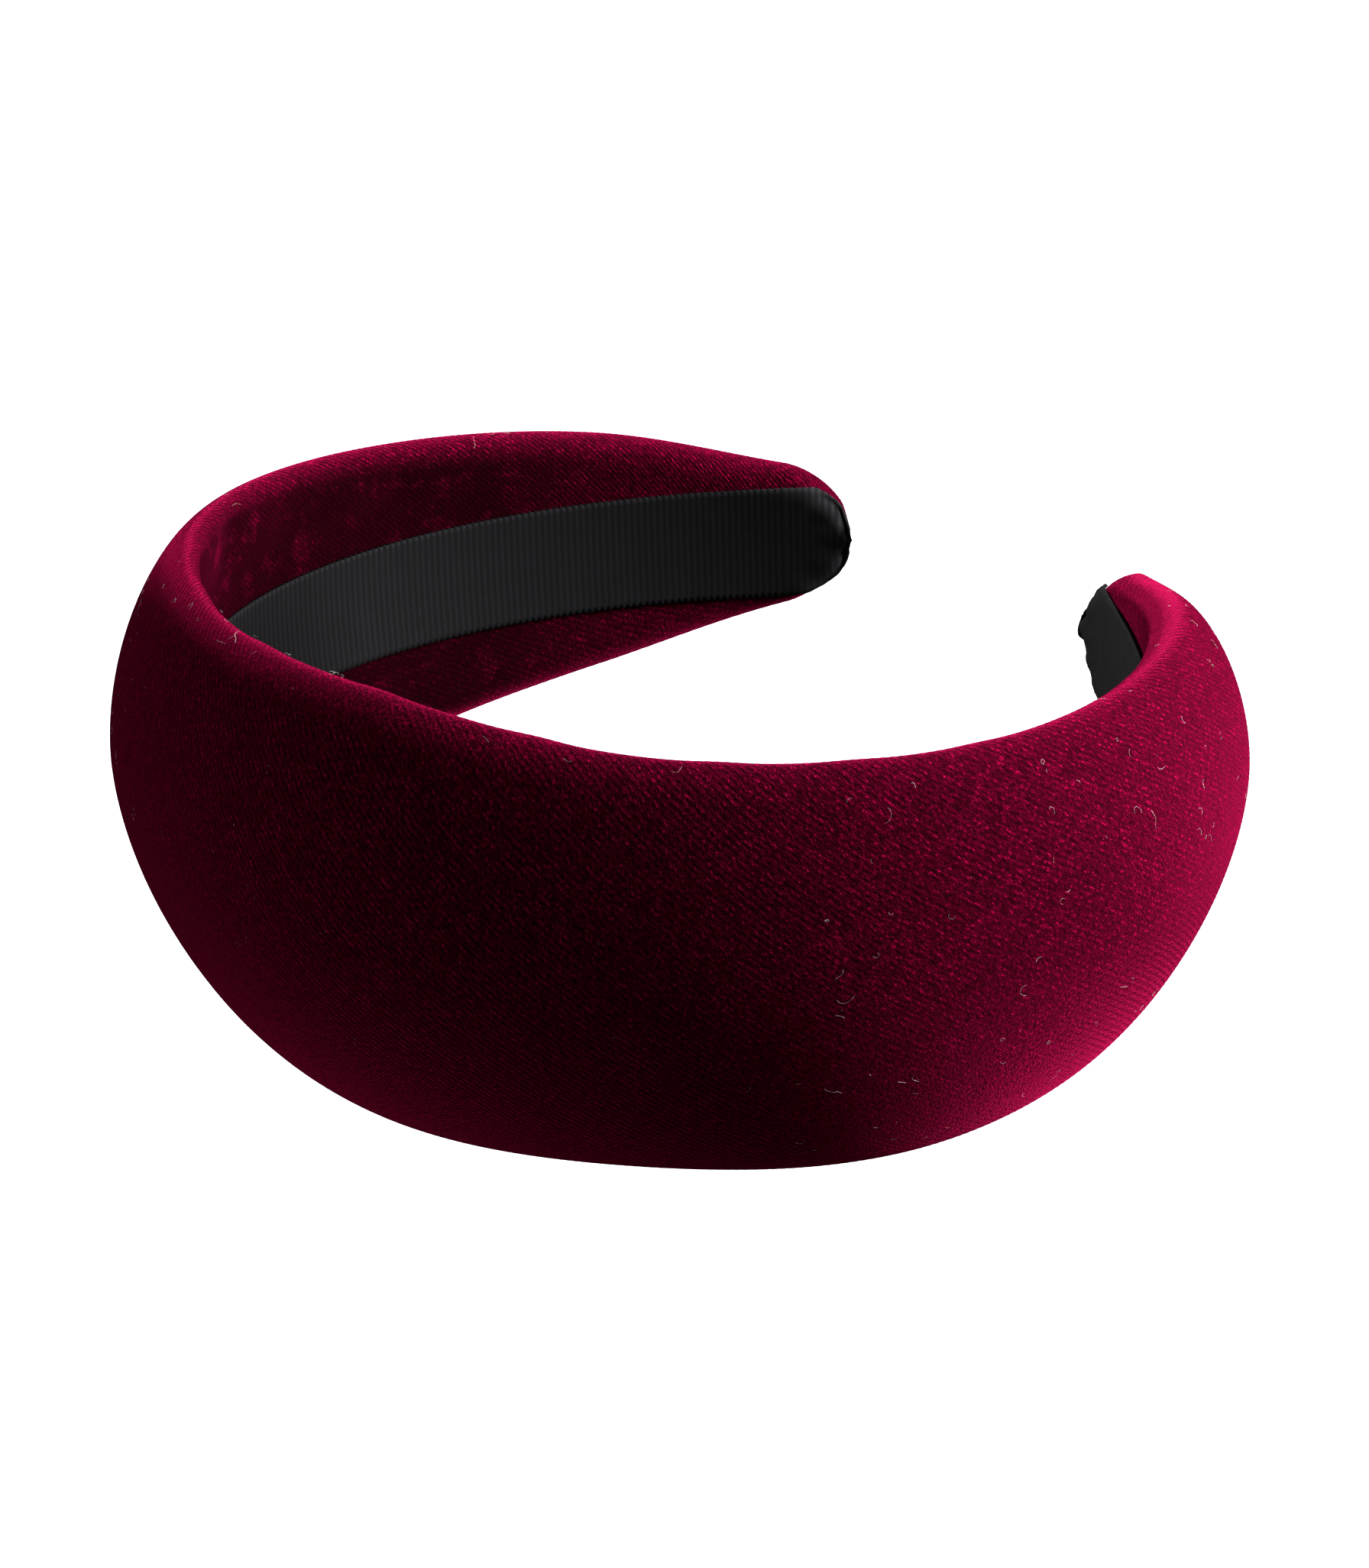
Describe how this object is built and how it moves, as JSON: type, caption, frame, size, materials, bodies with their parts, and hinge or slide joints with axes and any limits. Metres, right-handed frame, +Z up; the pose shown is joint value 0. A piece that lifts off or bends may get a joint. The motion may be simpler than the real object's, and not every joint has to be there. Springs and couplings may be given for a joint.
{
  "type": "padded headband",
  "caption": "Wide padded velvet headband: a springy hoop with a foam crescent, velvet cover and ribbon lining, open at the back.",
  "frame": {"origin": "on the surface it lies on, below the centre of its outline", "axes": "+Z up, through the open hoop; +Y from the crown towards the open ends; +X towards the right arm"},
  "size_m": [0.1612, 0.1482, 0.0637],
  "materials": {
    "velvet": "deep wine knitted velvet, short pile, dark when faced and crimson at a glancing angle",
    "grosgrain": "black grosgrain ribbon with fine crosswise ribs, slightly lustrous",
    "hoop_plastic": "black moulded spring plastic, satin",
    "foam": "off-white open-cell foam, matt",
    "adhesive": "translucent double-sided tape"
  },
  "bodies": {
    "crown": {"core_crown": "hoop_plastic", "pad_crown": "foam", "cover_crown": "velvet", "tape_crown": "adhesive", "lining_crown": "grosgrain"},
    "left_arm": {"core_left_arm": "hoop_plastic", "pad_left_arm": "foam", "cover_left_arm": "velvet", "tape_left_arm": "adhesive", "lining_left_arm": "grosgrain", "lining_fold_left": "grosgrain"},
    "right_arm": {"core_right_arm": "hoop_plastic", "pad_right_arm": "foam", "cover_right_arm": "velvet", "tape_right_arm": "adhesive", "lining_right_arm": "grosgrain", "lining_fold_right": "grosgrain"}
  },
  "joints": [
    {"name": "left_arm_flex", "type": "hinge", "parent": "crown", "child": "left_arm", "pos_m": [-0.0565, -0.04161, 0.03019], "axis": [0, 0.1028, 0.9947], "range_deg": [-6, 16], "stiffness_Nm_per_rad": 1.2},
    {"name": "right_arm_flex", "type": "hinge", "parent": "crown", "child": "right_arm", "pos_m": [0.0565, -0.04161, 0.03019], "axis": [0, -0.1028, -0.9947], "range_deg": [-6, 16], "stiffness_Nm_per_rad": 1.2}
  ]
}
